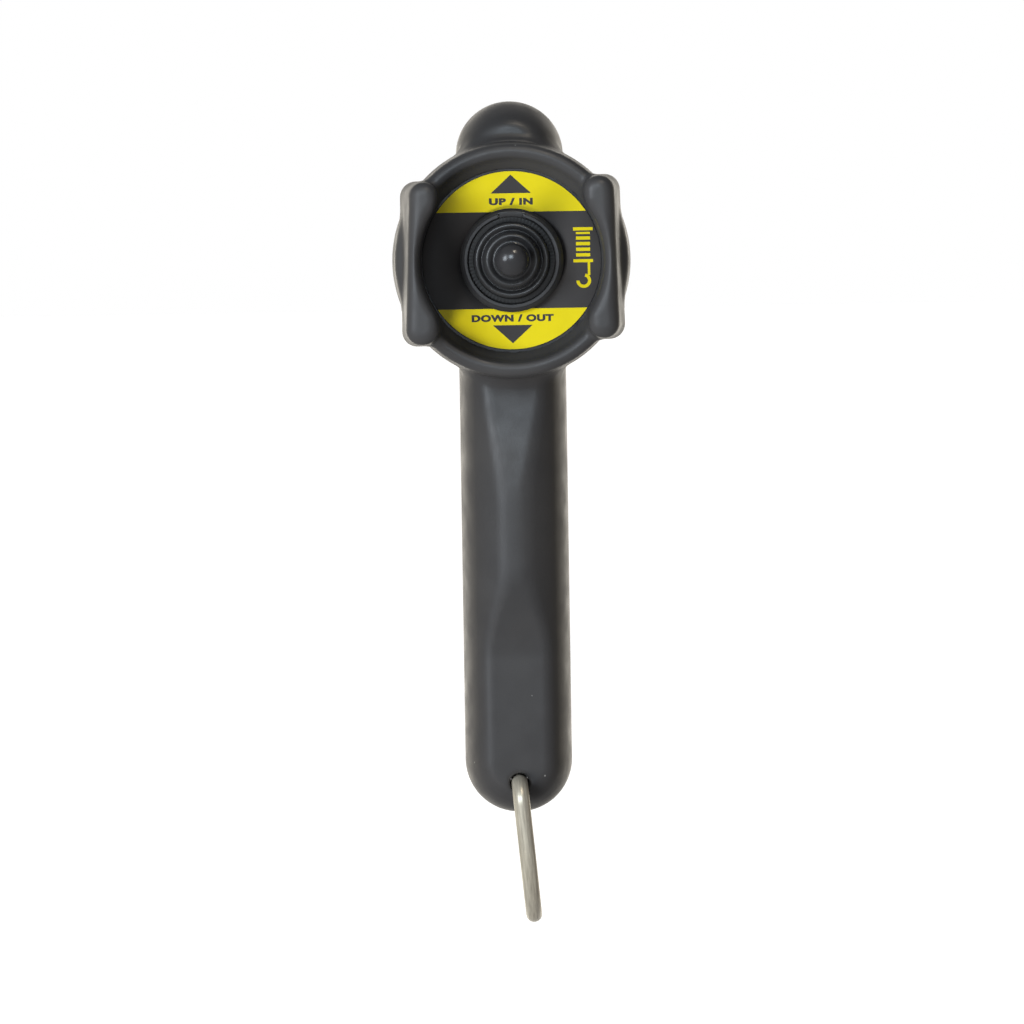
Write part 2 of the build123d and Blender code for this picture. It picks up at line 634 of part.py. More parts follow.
def joystick_boot():
    """Rubber bellows from the clamp ring to the knob."""
    flange = [(12.2, -32.6), (12.2, -33.1), (10.75, -33.1)]
    folds = [
        (10.75, -35.0),
        (10.2, -36.2),
        (8.9, -36.0),
        (8.3, -35.2),
        (7.6, -36.6),
        (7.5, -38.2),
        (6.7, -39.1),
        (5.6, -38.6),
        (5.2, -38.2),
        (4.9, -40.0),
    ]
    collar = [(4.2, -43.4), (LEVER_RADIUS + 0.1, -43.4), (LEVER_RADIUS + 0.1, -40.6)]
    inside = [(r - BOOT_THICKNESS, y + 0.5 * BOOT_THICKNESS) for r, y in reversed(folds)]
    return turned(flange + folds + collar + inside + [(9.8, -32.6)])


def mounting_nut():
    """Notched ring nut that holds the joystick barrel against the panel."""
    back_y = PANEL_BACK_Y + NUT_THICKNESS
    nut = y_rod(NUT_RADIUS, PANEL_BACK_Y, back_y, z=HEAD_Z)
    nut -= y_rod(BARREL_RADIUS, PANEL_BACK_Y - 1, back_y + 1, z=HEAD_Z)
    notch = block((NUT_RADIUS - 1.4, NUT_RADIUS + 1), (PANEL_BACK_Y - 1, back_y + 1), (-1.5, 1.5))
    return nut - [Pos(0, 0, HEAD_Z) * Rot(Y=360 * i / NUT_NOTCHES) * notch for i in range(NUT_NOTCHES)]


def joystick_base():
    """Pivot carrier: a collar inside the barrel, closed behind by a floor with the plunger guides."""
    base = y_rod(BARREL_BORE - 0.1, PIVOT_Y - 4.0, BARREL_BACK_Y, z=HEAD_Z)
    base += y_rod(BASE_RADIUS, BARREL_BACK_Y, BASE_BACK_Y, z=HEAD_Z)
    base -= y_rod(BASE_BORE, PIVOT_Y - 5.0, BASE_FLOOR_Y, z=HEAD_Z)
    base -= x_rod(PIN_RADIUS, BASE_RADIUS, PIVOT_Y, HEAD_Z)
    for side in (-1, 1):
        z = HEAD_Z + side * PLUNGER_OFFSET
        base -= y_rod(PLUNGER_RADIUS + 0.1, BASE_FLOOR_Y - 1, BASE_BACK_Y + 1, z=z)
    return base


def pivot_pin():
    """Steel pin that the lever rocks on."""
    return x_rod(PIN_RADIUS, BARREL_BORE - 0.3, PIVOT_Y, HEAD_Z)


def joystick_lever():
    """Lever with its pivot hub and the crossbar that presses the plungers."""
    lever = y_rod(LEVER_RADIUS, LEVER_FRONT_Y, PIVOT_Y, z=HEAD_Z)
    lever += x_rod(3.6, 4.0, PIVOT_Y, HEAD_Z)
    lever += block((-2.0, 2.0), (PIVOT_Y, PIVOT_Y + 3.5), (HEAD_Z - 3, HEAD_Z + 3))
    lever += block((-2.6, 2.6), (PIVOT_Y + 2.5, PIVOT_Y + 5.0), (HEAD_Z - 5.9, HEAD_Z + 5.9))
    return lever - x_rod(PIN_RADIUS + RUNNING_CLEARANCE, 6, PIVOT_Y, HEAD_Z)


def lever_knob():
    """Round-nosed knob on the lever's front end."""
    dome_y = KNOB_FRONT_Y + KNOB_DOME
    skirt = turned(
        [
            (0, LEVER_FRONT_Y),
            (LEVER_RADIUS, LEVER_FRONT_Y),
            (LEVER_RADIUS, KNOB_BACK_Y),
            (KNOB_RADIUS - KNOB_CHAMFER, KNOB_BACK_Y),
            (KNOB_RADIUS, KNOB_BACK_Y - KNOB_CHAMFER),
            (KNOB_RADIUS, dome_y),
            (0, dome_y),
        ]
    )
    nose = Line((0, dome_y), (KNOB_RADIUS, dome_y)) + Spline(
        (KNOB_RADIUS, dome_y), (0, KNOB_FRONT_Y), tangents=[(0, -1), (-1, 0)]
    )
    return skirt + lathe(nose + Line((0, KNOB_FRONT_Y), (0, dome_y)))


def contact_block(side):
    """One switch block; side is +1 for the upper block and -1 for the lower one."""
    z = HEAD_Z + side * PLUNGER_OFFSET
    low, high = sorted((HEAD_Z + side * 0.4, HEAD_Z + side * 10.4))
    body = block((-9.0, 9.0), (BASE_BACK_Y, BLOCK_BACK_Y), (low, high))
    body = fillet(body.edges().filter_by(Axis.Y), 1.0)
    body -= y_rod(PLUNGER_RADIUS + 0.1, BASE_BACK_Y - 1, -11.0, z=z)
    return body - y_rod(2.3, -11.5, -1.2, z=z)


def plunger(side):
    """Push rod with a round nose and a foot that the return spring bears on."""
    z = HEAD_Z + side * PLUNGER_OFFSET
    tip = (0, PLUNGER_NOSE_Y)
    shoulder = (PLUNGER_RADIUS, PLUNGER_NOSE_Y + 0.8)
    front, back = PLUNGER_FOOT_Y
    foot = [(PLUNGER_RADIUS, front), (PLUNGER_FOOT_RADIUS, front), (PLUNGER_FOOT_RADIUS, back), (0, back)]
    outline = ThreePointArc(tip, (0.8, PLUNGER_NOSE_Y + 0.2), shoulder) + Polyline(shoulder, *foot, tip)
    return lathe(outline, z)


def plunger_spring(side):
    """Return spring behind a plunger."""
    return coil(1.55, 0.22, -8.3, -1.5, 6, z=HEAD_Z + side * PLUNGER_OFFSET)


def contact_terminals():
    """Two solder tabs on the back of each contact block."""
    tab_y = (BLOCK_BACK_Y, BLOCK_BACK_Y + TERMINAL_LENGTH)
    tabs = []
    for x in (-TERMINAL_X, TERMINAL_X):
        for z in (HEAD_Z - TERMINAL_RISE, HEAD_Z + TERMINAL_RISE):
            tabs.append(block((x - 2.0, x + 2.0), tab_y, (z - 0.4, z + 0.4)))
    return tabs


# === hanging ring =======================================================================================
def hang_ring():
    """D-shaped steel ring through the bushing, leaning a little to the right."""
    middle = (RING_FRONT_Y + RING_BACK_Y) / 2
    sweep_radius = (RING_BACK_Y - RING_FRONT_Y) / 2
    top_front = (RING_FRONT_Y + RING_BEND, 0)
    top_back = (RING_BACK_Y - RING_BEND, 0)
    leg_end = -(RING_REACH - sweep_radius)
    corner = RING_BEND * (1 - math.sqrt(0.5))
    path = (
        Line(top_front, top_back)
        + ThreePointArc(top_back, (RING_BACK_Y - corner, -corner), (RING_BACK_Y, -RING_BEND))
        + Line((RING_BACK_Y, -RING_BEND), (RING_BACK_Y, leg_end))
        + ThreePointArc((RING_BACK_Y, leg_end), (middle, -RING_REACH), (RING_FRONT_Y, leg_end))
        + Line((RING_FRONT_Y, leg_end), (RING_FRONT_Y, -RING_BEND))
        + ThreePointArc((RING_FRONT_Y, -RING_BEND), (RING_FRONT_Y + corner, -corner), top_front)
    )
    wire = Plane.YZ * Wire(path.edges())
    ring = sweep(Plane(origin=(0, top_front[0], 0), z_dir=(0, 1, 0)) * Circle(ROD_RADIUS), path=wire)
    return Pos(0, 0, HOLE_Z) * Rot(Y=-RING_LEAN) * ring


PARTS = {
    "front_housing": front_housing,
    "rear_housing": rear_housing,
    "housing_seal": housing_seal,
    "housing_screws": housing_screws,
    "ring_bushing": ring_bushing,
    "hang_ring": hang_ring,
    "battery_door": battery_door,
    "door_seal": door_seal,
    "door_screws": door_screws,
    "battery_tray": battery_tray,
    "battery_cells": battery_cells,
    "battery_contacts": battery_contacts,
    "circuit_board": circuit_board,
    "board_screws": board_screws,
    "board_components": board_components,
    "antenna_coil": antenna_coil,
    "antenna_lead": antenna_lead,
    "battery_lead_red": battery_lead_red,
    "battery_lead_black": battery_lead_black,
    "switch_leads": switch_leads,
    "panel_plate": panel_plate,
    "panel_screws": panel_screws,
    "legend_plate": legend_plate,
    "guard_boot": guard_boot,
    "bezel_gasket": bezel_gasket,
    "joystick_bezel": joystick_bezel,
    "boot_clamp_ring": boot_clamp_ring,
    "joystick_boot": joystick_boot,
    "mounting_nut": mounting_nut,
    "joystick_base": joystick_base,
    "pivot_pin": pivot_pin,
    "joystick_lever": joystick_lever,
    "lever_knob": lever_knob,
    "contact_block_up": lambda: contact_block(1),
    "contact_block_down": lambda: contact_block(-1),
    "contact_terminals": contact_terminals,
    "plunger_up": lambda: plunger(1),
    "plunger_down": lambda: plunger(-1),
    "plunger_spring_up": lambda: plunger_spring(1),
    "plunger_spring_down": lambda: plunger_spring(-1),
}

os.makedirs("parts", exist_ok=True)
for node, make in PARTS.items():
    made = make()
    solids = made if isinstance(made, list) else [made]
    shape = Compound(children=solids) if len(solids) > 1 else solids[0]
    export_step(shape, f"parts/{node}.step")
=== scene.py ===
"""Looks of the hand-held winch control: rubber grip and head, printed disc, joystick, boot and steel ring.

The rounded rubber shapes are distance fields, in millimetres, turned into meshes. A field is negative inside.
Turned parts are lathes about the head's axis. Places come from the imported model's own boxes where they can.
"""

import json
import math

import bmesh
import bpy
import numpy as np
import openvdb
from mathutils import Matrix, Vector


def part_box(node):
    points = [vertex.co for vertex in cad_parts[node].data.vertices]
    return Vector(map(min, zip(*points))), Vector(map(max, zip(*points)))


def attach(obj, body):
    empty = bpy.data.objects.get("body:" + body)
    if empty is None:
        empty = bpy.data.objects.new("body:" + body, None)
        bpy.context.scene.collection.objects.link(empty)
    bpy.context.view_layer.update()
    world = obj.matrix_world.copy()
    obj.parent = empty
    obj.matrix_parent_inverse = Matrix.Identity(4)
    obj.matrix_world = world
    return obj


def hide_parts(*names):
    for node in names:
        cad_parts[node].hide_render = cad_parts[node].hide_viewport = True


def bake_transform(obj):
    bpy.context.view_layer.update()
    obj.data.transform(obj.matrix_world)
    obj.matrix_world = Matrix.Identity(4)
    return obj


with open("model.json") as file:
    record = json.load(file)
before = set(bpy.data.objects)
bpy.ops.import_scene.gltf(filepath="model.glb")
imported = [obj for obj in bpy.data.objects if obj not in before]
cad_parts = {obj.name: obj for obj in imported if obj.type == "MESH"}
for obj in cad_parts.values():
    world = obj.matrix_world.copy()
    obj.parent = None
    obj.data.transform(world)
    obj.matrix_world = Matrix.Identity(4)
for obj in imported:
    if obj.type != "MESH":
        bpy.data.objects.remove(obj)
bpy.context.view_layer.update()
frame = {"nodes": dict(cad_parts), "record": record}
nodes = frame["nodes"]
MM = 0.001
STEP = 0.6      # the fields' grid, in millimetres


def box_mm(node):
    """A node's lowest and highest corners, in millimetres."""
    low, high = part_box(node)
    return [v / MM for v in low], [v / MM for v in high]


# --- sizes read from the frame, in millimetres ------------------------------------------------------------
REAR_LOW, REAR_HIGH = box_mm("rear_housing")
GUARD_LOW, GUARD_HIGH = box_mm("guard_boot")
LEGEND_LOW, LEGEND_HIGH = box_mm("legend_plate")
BEZEL_LOW, BEZEL_HIGH = box_mm("joystick_bezel")
KNOB_LOW, KNOB_HIGH = box_mm("lever_knob")
RING_LOW, RING_HIGH = box_mm("hang_ring")
BUSHING_LOW, BUSHING_HIGH = box_mm("ring_bushing")
FRONT_LOW, FRONT_HIGH = box_mm("front_housing")
DOOR_LOW, DOOR_HIGH = box_mm("battery_door")

HALF_WIDTH = (REAR_HIGH[0] - REAR_LOW[0]) / 2
TOP, BOTTOM = REAR_HIGH[2], REAR_LOW[2]
BACK = REAR_HIGH[1]
HEAD_Z = (LEGEND_LOW[2] + LEGEND_HIGH[2]) / 2
HOLE_Z = (BUSHING_LOW[2] + BUSHING_HIGH[2]) / 2
DRUM_RADIUS = GUARD_HIGH[2] - HEAD_Z
DISC_RADIUS = LEGEND_HIGH[2] - HEAD_Z
DISC_FRONT, PANEL_FRONT = LEGEND_LOW[1], LEGEND_HIGH[1]
SLEEVE_BACK = GUARD_HIGH[1]
EAR_FRONT = GUARD_LOW[1]
BEZEL_RADIUS = BEZEL_HIGH[0]
BEZEL_FRONT = BEZEL_LOW[1]
KNOB_RADIUS = KNOB_HIGH[0]
KNOB_FRONT, KNOB_BACK = KNOB_LOW[1], KNOB_HIGH[1]

# --- sizes of the hidden and softened shapes, in millimetres ----------------------------------------------
SECTION_DEPTH = 24.6       # half the grip section's depth
FRONT_FLAT = -19.5
SWELL = 4.05               # how far the palm swell stands out of the front flat
WALL = 2.6
FLAT_HALF_WIDTH = 10.1
HOLE_RADIUS = 2.8
DRUM_BACK = -8.0
BORE_BACK = -11.0
SEAT_RADIUS = 31.4
BORE_RADIUS = 25.4
PANEL_RADIUS = 29.05
RIM_FRONT = -37.4
RIM_RADIUS = 33.1
RIM_ROUND = 2.1
CONE_RADIUS = 25.8
WELL_RADIUS = 26.2
TWIST = math.radians(1.4)
EAR_HALF_HEIGHT = 22.9
EAR_LEAN = -0.068
ROD_RADIUS = 2.35
RING_LEAN = math.radians(5.4)
BODY, LEVER, RING = "body", "lever", "ring"


# === distance fields ======================================================================================
def both(a, b, radius=0.0):
    """Where a and b overlap, with the edge between them rounded."""
    if not radius:
        return np.maximum(a, b)
    corner = np.hypot(np.maximum(a + radius, 0), np.maximum(b + radius, 0))
    return np.minimum(np.maximum(a, b), -radius) + corner


def either(a, b, radius=0.0):
    """a and b joined, with a fillet between them."""
    return -both(-a, -b, radius)


def without(a, b, radius=0.0):
    """a with b cut out of it."""
    return both(a, -b, radius)


def between(value, low, high):
    """A slab."""
    return np.maximum(low - value, value - high)


def smooth(t):
    """A soft step from 0 to 1."""
    t = np.clip(t, 0, 1)
    return t * t * (3 - 2 * t)


def rounded_rectangle(u, v, half_u, half_v, corner):
    """A rounded rectangle about the origin of (u, v)."""
    du, dv = np.abs(u) - half_u + corner, np.abs(v) - half_v + corner
    outside = np.hypot(np.maximum(du, 0), np.maximum(dv, 0))
    return outside + np.minimum(np.maximum(du, dv), 0) - corner


def capsule(x, y, z, half_width, half_depth):
    """An elliptic bar along Z with an ellipsoid on each end."""
    middle, half = (TOP + BOTTOM) / 2, (TOP - BOTTOM) / 2 - HALF_WIDTH
    over = np.maximum(np.abs(z - middle) - half, 0)
    across, deep = half_width**2, half_depth**2
    level = (x * x + over * over) / across + y * y / deep
    slope = np.sqrt((x * x + over * over) / across**2 + y * y / deep**2)
    return (level - 1) / (2 * np.maximum(slope, 1e-3))


def grip(x, y, z):
    """The whole grip: flat back, soft-edged front flat with the palm swell below the head."""
    swell = SWELL * smooth((64 - z) / 47) * smooth((z + 25) / 27)
    front = 0.985 * (FRONT_FLAT - swell - y)
    over = np.maximum(np.abs(z - (TOP + BOTTOM) / 2) - (TOP - BOTTOM) / 2 + HALF_WIDTH, 0)
    roof = 0.545 * (np.hypot(x, over) - FLAT_HALF_WIDTH) - 0.838 * (y - FRONT_FLAT)
    shape = both(capsule(x, y, z, HALF_WIDTH, SECTION_DEPTH), roof, 2.0)
    return both(both(shape, front, 1.5), y - BACK, 1.8)


def cavity(x, y, z):
    """The hollow inside the grip."""
    hollow = capsule(x, y, z, HALF_WIDTH - WALL, SECTION_DEPTH - WALL)
    return both(hollow, between(y, FRONT_FLAT + WALL, BACK - 4.0))


def rods(x, z, places, radius):
    """Round columns along Y."""
    return np.minimum.reduce([np.hypot(x - px, z - pz) - radius for px, pz in places])


def node_places(node):
    """(x, z) of each separate screw in a node, in millimetres."""
    mesh = nodes[node].data
    points = np.array([v.co for v in mesh.vertices]) / MM
    places = []
    for x, _, z in points:
        if all(math.hypot(x - px, z - pz) > 5 for px, pz in places):
            near = points[np.hypot(points[:, 0] - x, points[:, 2] - z) < 5]
            middle = (near.max(axis=0) + near.min(axis=0)) / 2
            places.append((middle[0], middle[2]))
    return places


HOUSING_SCREWS = node_places("housing_screws")
DOOR_SCREWS = node_places("door_screws")


def drum(r, y):
    """The bare round head behind the rubber guard, and the seat that the guard is stretched over."""
    bare = both(both(r - DRUM_RADIUS, y - DRUM_BACK, 3.5), SLEEVE_BACK - y, 0.4)
    seat = both(r - SEAT_RADIUS, between(y, PANEL_FRONT, DRUM_BACK - 1))
    return either(bare, seat)


def drum_bore(r, y):
    """The hole for the joystick, with the panel's recess in front of it."""
    bore = both(r - BORE_RADIUS, between(y, -60, BORE_BACK))
    return either(bore, both(r - PANEL_RADIUS, y - PANEL_FRONT - 2.5))


def ring_hole(x, z):
    return np.hypot(x, z - HOLE_Z) - HOLE_RADIUS


def shell(x, y, z):
    """Both housing halves before they are parted."""
    r = np.hypot(x, z - HEAD_Z)
    shape = either(grip(x, y, z), drum(r, y), 3.0)
    posts = either(rods(x, z, HOUSING_SCREWS, 2.6), rods(x, z, [(0, HOLE_Z)], 5.4))
    hollow = without(cavity(x, y, z), posts)
    shape = without(without(shape, hollow), drum_bore(r, y))
    return without(shape, ring_hole(x, z), 0.7)


def front_shell(x, y, z):
    return both(shell(x, y, z), y + 0.04, 0.35)


def rear_shell(x, y, z):
    shape = both(shell(x, y, z), 0.04 - y, 0.35)
    door_x, door_z = (DOOR_HIGH[0] - DOOR_LOW[0]) / 2, (DOOR_HIGH[2] - DOOR_LOW[2]) / 2
    door_mid = (DOOR_HIGH[2] + DOOR_LOW[2]) / 2
    recess = rounded_rectangle(x, z - door_mid, door_x + 0.25, door_z + 0.25, 4.2)
    shape = without(shape, both(recess, BACK - 2.0 - y), 0.35)
    opening = rounded_rectangle(x, z - 1.75, 7.6, 52.25, 2.0)
    shape = without(shape, both(opening, 13.0 - y))
    heads = both(rods(x, z, HOUSING_SCREWS, 2.55), BACK - 2.5 - y)
    shape = without(shape, heads, 0.4)
    return without(shape, rods(x, z, HOUSING_SCREWS + DOOR_SCREWS, 1.3))


def door(x, y, z):
    """Flush battery cover with grip ribs at its lower end."""
    half_x, half_z = (DOOR_HIGH[0] - DOOR_LOW[0]) / 2, (DOOR_HIGH[2] - DOOR_LOW[2]) / 2
    middle = (DOOR_HIGH[2] + DOOR_LOW[2]) / 2
    outline = rounded_rectangle(x, z - middle, half_x, half_z, 4.0)
    shape = both(both(outline, y - BACK, 0.5), BACK - 2.0 - y)
    shape = without(shape, both(rods(x, z, DOOR_SCREWS, 2.45), BACK - 1.3 - y), 0.3)
    for rib in range(7):
        groove = np.hypot(y - BACK - 0.35, z - DOOR_LOW[2] - 8 - 2.2 * rib) - 0.85
        shape = without(shape, both(groove, np.abs(x) - 5.5, 0.4), 0.25)
    return shape


def ear(x, y, z):
    """Both guard ears: walls that flare towards the drum, hollowed by the round thumb well.

    The left one leans in a little at its top, as soft rubber does.
    """
    t = (y - EAR_FRONT) / (SLEEVE_BACK - EAR_FRONT)
    lean = np.where(x < 0, EAR_LEAN * (z - HEAD_Z), 0.0) * (1 - t)
    outer, inner = 29.3 + lean + 3.6 * t, 21.0 + 0.4 * lean - 0.6 * t
    half, corner = (outer - inner) / 2, 5.2 - 1.2 * t
    corner = np.minimum(corner, 0.98 * half)
    centred = np.abs(x) - (outer + inner) / 2
    outline = rounded_rectangle(centred, z - HEAD_Z, half, EAR_HALF_HEIGHT + 1.0 * t, corner)
    well = np.maximum(WELL_RADIUS - np.hypot(x, z - HEAD_Z), y - PANEL_FRONT - 0.3)
    wall = both(outline, well, 1.6)
    return both(both(wall, EAR_FRONT - y, 3.1), y - SLEEVE_BACK)


def guard(x, y, z):
    """Rubber sleeve over the drum, sitting a little twisted on it: wall, rim, cone to the disc, and ears."""
    up = z - HEAD_Z
    x, z = x * math.cos(TWIST) + up * math.sin(TWIST), HEAD_Z + up * math.cos(TWIST) - x * math.sin(TWIST)
    r = np.hypot(x, z - HEAD_Z)
    rim_y = RIM_FRONT + RIM_ROUND
    flare = RIM_RADIUS + (DRUM_RADIUS - RIM_RADIUS) * (y - rim_y) / (SLEEVE_BACK - rim_y)
    wall = both(r - flare, between(y, rim_y, SLEEVE_BACK), 0.5)
    bead = np.hypot(r - RIM_RADIUS + RIM_ROUND, y - rim_y) - RIM_ROUND
    inner = RIM_RADIUS - 2 * RIM_ROUND
    slant = (inner - CONE_RADIUS) / (rim_y - PANEL_FRONT)
    cone = 0.8 * (inner + slant * (y - rim_y) - r)
    shape = either(both(wall, cone, 0.3), bead, 0.8)
    shape = either(shape, ear(x, y, z), 1.6)
    seat = both(r - SEAT_RADIUS - 0.02, PANEL_FRONT - y)
    return both(without(shape, seat), DISC_RADIUS - r, 0.3)


# === mesh helpers =========================================================================================
def link(name, mesh):
    piece = bpy.data.objects.new(name, mesh)
    bpy.context.scene.collection.objects.link(piece)
    return piece


def smooth_faces(mesh):
    mesh.polygons.foreach_set("use_smooth", [True] * len(mesh.polygons))
    mesh.update()


def field_mesh(name, field, low, high, step):
    """The surface of a field inside the box low to high, in millimetres."""
    low = np.array(low, float) - 2 * step
    counts = np.ceil((np.array(high, float) + 2 * step - low) / step).astype(int) + 1
    axes = [(low[i] + step * np.arange(counts[i])).astype(np.float32) for i in range(3)]
    x, y, z = np.meshgrid(*axes, indexing="ij", sparse=True)
    values = np.ascontiguousarray(np.broadcast_to(field(x, y, z), counts), dtype=np.float32)
    grid = openvdb.FloatGrid()
    grid.copyFromArray(np.clip(values, -3 * step, 3 * step))
    points, _, quads = grid.convertToPolygons(isovalue=0.0, adaptivity=0.0)
    mesh = bpy.data.meshes.new(name)
    mesh.from_pydata(((points * step + low) * MM).tolist(), [], quads.tolist())
    smooth_faces(mesh)
    return link(name, mesh)


def lathe(name, outline, turns=128, closed=True):
    """Turns an outline of (radius, y) about the head's axis. Points on the axis become one point."""
    verts, faces, rings = [], [], []
    for r, y in outline:
        if r < 1e-6:
            rings.append([len(verts)] * turns)
            verts.append((0, y * MM, HEAD_Z * MM))
            continue
        rings.append(list(range(len(verts), len(verts) + turns)))
        for i in range(turns):
            a = 2 * math.pi * i / turns
            verts.append((r * math.sin(a) * MM, y * MM, (HEAD_Z + r * math.cos(a)) * MM))
    pairs = list(zip(rings, rings[1:] + rings[:1] if closed else rings[1:]))
    for first, second in pairs:
        for i in range(turns):
            j = (i + 1) % turns
            face = list(dict.fromkeys((first[i], second[i], second[j], first[j])))
            if len(face) > 2:
                faces.append(face)
    mesh = bpy.data.meshes.new(name)
    mesh.from_pydata(verts, [], faces)
    smooth_faces(mesh)
    return link(name, mesh)


def rounded(points, cuts):
    """A closed outline of (radius, y, rounding) with each corner turned into an arc-like curve."""
    out = []
    count = len(points)
    for i, (r, y, size) in enumerate(points):
        before, after = points[i - 1][:2], points[(i + 1) % count][:2]
        if not size:
            out.append((r, y))
            continue
        here = Vector((r, y))
        to_before, to_after = Vector(before) - here, Vector(after) - here
        start = here + to_before.normalized() * min(size, 0.49 * to_before.length)
        end = here + to_after.normalized() * min(size, 0.49 * to_after.length)
        for k in range(cuts + 1):
            t = k / cuts
            out.append(tuple((1 - t) ** 2 * start + 2 * t * (1 - t) * here + t * t * end))
    return out


def print_layer(name, loops, y, thickness=0.03):
    """Thin print on the disc: flat outlines in (x, z) about the head's axis, as one mesh."""
    verts, faces = [], []
    for loop in loops:
        start, count = len(verts), len(loop)
        for depth in (y, y + thickness):
            verts += [(px * MM, depth * MM, (HEAD_Z + pz) * MM) for px, pz in loop]
        faces.append([start + i for i in range(count)])
        faces.append([start + count + i for i in reversed(range(count))])
        for i in range(count):
            j = (i + 1) % count
            faces.append((start + j, start + i, start + count + i, start + count + j))
    mesh = bpy.data.meshes.new(name)
    mesh.from_pydata(verts, [], faces)
    return link(name, mesh)


def words(name, text, centre, width, height, y):
    """Flat letters centred at (x, z) from the head's axis, stretched to a width and a height."""
    curve = bpy.data.curves.new(name, "FONT")
    curve.body = text
    curve.align_x, curve.align_y = "CENTER", "CENTER"
    curve.offset = 0.06
    curve.extrude = 0.01
    curve.space_character = 1.12
    holder = link(name, curve)
    bpy.context.view_layer.update()
    flat = bpy.data.meshes.new_from_object(holder)
    bpy.data.objects.remove(holder)
    co = np.array([v.co for v in flat.vertices])
    low, high = co.min(axis=0), co.max(axis=0)
    middle = (low + high) / 2
    grow = Matrix.Diagonal((width * MM / (high[0] - low[0]), height * MM / (high[1] - low[1]), 0.001, 1))
    stand = Matrix.Rotation(math.radians(90), 4, "X")
    place = Matrix.Translation(Vector((centre[0], y, HEAD_Z + centre[1])) * MM)
    flat.transform(place @ stand @ grow @ Matrix.Translation(-Vector(middle)))
    flat.name = name
    return link(name, flat)


# === materials ============================================================================================
def new_material(name):
    made = bpy.data.materials.new(name)
    made.use_nodes = True
    tree = made.node_tree
    return made, tree, tree.nodes["Principled BSDF"]


def noise(tree, scale, detail=3.0, vector=None, rough=0.5):
    node = tree.nodes.new("ShaderNodeTexNoise")
    node.inputs["Scale"].default_value = scale
    node.inputs["Detail"].default_value = detail
    node.inputs["Roughness"].default_value = rough
    tree.links.new(vector or coordinates(tree), node.inputs["Vector"])
    return node.outputs["Fac"]


def coordinates(tree, output="Object"):
    for node in tree.nodes:
        if node.bl_idname == "ShaderNodeTexCoord":
            return node.outputs[output]
    return tree.nodes.new("ShaderNodeTexCoord").outputs[output]


def ramp(tree, value, low, high, start, end):
    """Maps value from low..high to the colours or greys start..end."""
    node = tree.nodes.new("ShaderNodeValToRGB")
    first, second = node.color_ramp.elements
    first.position, second.position = low, high
    first.color = (*start, 1) if isinstance(start, tuple) else (start, start, start, 1)
    second.color = (*end, 1) if isinstance(end, tuple) else (end, end, end, 1)
    tree.links.new(value, node.inputs["Fac"])
    return node.outputs["Color"]


def bump(tree, shader, height, strength, distance):
    node = tree.nodes.new("ShaderNodeBump")
    node.inputs["Strength"].default_value = strength
    node.inputs["Distance"].default_value = distance
    tree.links.new(height, node.inputs["Height"])
    tree.links.new(node.outputs["Normal"], shader.inputs["Normal"])


def mix(tree, factor, a, b):
    node = tree.nodes.new("ShaderNodeMix")
    node.data_type = "RGBA"
    tree.links.new(factor, node.inputs["Factor"])
    for value, socket in ((a, node.inputs[6]), (b, node.inputs[7])):
        if isinstance(value, tuple):
            socket.default_value = (*value, 1)
        else:
            tree.links.new(value, socket)
    return node.outputs[2]


def rubber(name, colour, worn, roughness, grain=2600.0, depth=0.00006, dust=0.0, gloss=0.4):
    """Matt moulded rubber: cloudy colour, fine grain and, if dust is above 0, a few pale specks."""
    made, tree, shader = new_material(name)
    cloud = noise(tree, 55.0, 4.0)
    base = ramp(tree, cloud, 0.35, 0.7, colour, worn)
    if dust:
        speck = tree.nodes.new("ShaderNodeTexVoronoi")
        speck.inputs["Scale"].default_value = 230.0
        tree.links.new(coordinates(tree), speck.inputs["Vector"])
        near = ramp(tree, speck.outputs["Distance"], 0.035, 0.07, 1.0, 0.0)
        chosen = ramp(tree, noise(tree, 190.0, 1.0), 0.60, 0.64, 0.0, dust)
        both_true = tree.nodes.new("ShaderNodeMath")
        both_true.operation = "MULTIPLY"
        tree.links.new(near, both_true.inputs[0])
        tree.links.new(chosen, both_true.inputs[1])
        base = mix(tree, both_true.outputs[0], base, (0.42, 0.42, 0.40))
    tree.links.new(base, shader.inputs["Base Color"])
    tree.links.new(ramp(tree, noise(tree, 140.0, 5.0), 0.3, 0.7, roughness - 0.06, roughness + 0.08),
                   shader.inputs["Roughness"])
    shader.inputs["Specular IOR Level"].default_value = gloss
    bump(tree, shader, noise(tree, grain, 2.0), 0.35, depth)
    return made


def plastic(name, colour, roughness, grain=1500.0, depth=0.00003, coat=0.0, gloss=0.5):
    """Moulded or printed plastic with a slight cloudiness and a fine surface."""
    made, tree, shader = new_material(name)
    lighter = tuple(min(1.0, 1.12 * c + 0.002) for c in colour)
    tree.links.new(ramp(tree, noise(tree, 90.0, 3.0), 0.3, 0.75, colour, lighter),
                   shader.inputs["Base Color"])
    tree.links.new(ramp(tree, noise(tree, 260.0, 4.0), 0.3, 0.7, roughness - 0.04, roughness + 0.06),
                   shader.inputs["Roughness"])
    shader.inputs["Specular IOR Level"].default_value = gloss
    shader.inputs["Coat Weight"].default_value = coat
    shader.inputs["Coat Roughness"].default_value = 0.12
    bump(tree, shader, noise(tree, grain, 2.0), 0.3, depth)
    return made


